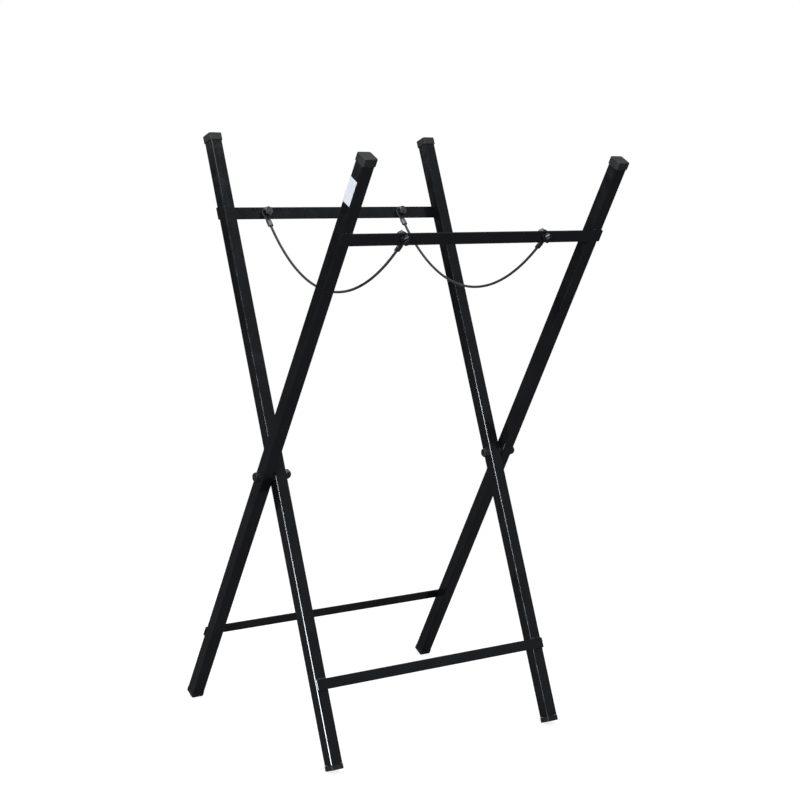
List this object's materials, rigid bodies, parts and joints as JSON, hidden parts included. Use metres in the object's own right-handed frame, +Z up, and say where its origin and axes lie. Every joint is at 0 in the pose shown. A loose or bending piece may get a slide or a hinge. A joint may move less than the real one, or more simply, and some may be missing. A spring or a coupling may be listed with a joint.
{
  "type": "folding drum stand",
  "caption": "Folding scissor stand of square steel tube: two rectangular frames turn on a pair of bolts, with cords slung between their upper bars as a cradle for a drum laid on its side.",
  "frame": {"origin": "on the floor, under the middle of the pivot axis", "axes": "+Z up, +X along the pivot axis (the line along which a drum lies), +Y away from the side of the outer frame's tops"},
  "size_m": [0.4951, 0.4768, 0.8983],
  "materials": {
    "black_paint": "gloss black",
    "cap_plastic": "matt, dark grey",
    "foot_plastic": "satin black",
    "dark_steel": "dull zinc",
    "nylon": "black",
    "cord": "smooth black cord",
    "sleeve_metal": "dark, crimped",
    "label_paper": "blank white label"
  },
  "bodies": {
    "outer_frame": {"outer_leg_left": "black_paint", "outer_top_cap_left": "cap_plastic", "outer_foot_left": "foot_plastic", "outer_cord_bolt_left": "dark_steel", "outer_cord_nut_left": "dark_steel", "outer_cord_washer_left": "dark_steel", "outer_eye_washer_left": "dark_steel", "outer_cord_eye_left": "cord", "outer_cord_sleeve_left": "sleeve_metal", "outer_leg_right": "black_paint", "outer_top_cap_right": "cap_plastic", "outer_foot_right": "foot_plastic", "outer_cord_bolt_right": "dark_steel", "outer_cord_nut_right": "dark_steel", "outer_cord_washer_right": "dark_steel", "outer_eye_washer_right": "dark_steel", "outer_cord_eye_right": "cord", "outer_cord_sleeve_right": "sleeve_metal", "outer_upper_bar": "black_paint", "outer_lower_bar": "black_paint", "pivot_bolt_left": "dark_steel", "pivot_bolt_right": "dark_steel", "pivot_head_washer_left": "dark_steel", "pivot_head_washer_right": "dark_steel", "pivot_spacer_left": "nylon", "pivot_spacer_right": "nylon", "pivot_nut_washer_left": "dark_steel", "pivot_nut_washer_right": "dark_steel", "pivot_nut_left": "dark_steel", "pivot_nut_right": "dark_steel", "blank_label": "label_paper", "cord_left": "cord", "cord_right": "cord"},
    "inner_frame": {"inner_leg_left": "black_paint", "inner_top_cap_left": "cap_plastic", "inner_foot_left": "foot_plastic", "inner_cord_bolt_left": "dark_steel", "inner_cord_nut_left": "dark_steel", "inner_cord_washer_left": "dark_steel", "inner_eye_washer_left": "dark_steel", "inner_cord_eye_left": "cord", "inner_cord_sleeve_left": "sleeve_metal", "inner_leg_right": "black_paint", "inner_top_cap_right": "cap_plastic", "inner_foot_right": "foot_plastic", "inner_cord_bolt_right": "dark_steel", "inner_cord_nut_right": "dark_steel", "inner_cord_washer_right": "dark_steel", "inner_eye_washer_right": "dark_steel", "inner_cord_eye_right": "cord", "inner_cord_sleeve_right": "sleeve_metal", "inner_upper_bar": "black_paint", "inner_lower_bar": "black_paint"}
  },
  "joints": [
    {"name": "fold", "type": "hinge", "parent": "outer_frame", "child": "inner_frame", "pos_m": [0, 0, 0.40369], "axis": [1, 0, 0], "range_deg": [-10, 49.5], "deforming": ["cord_left", "cord_right"]}
  ]
}
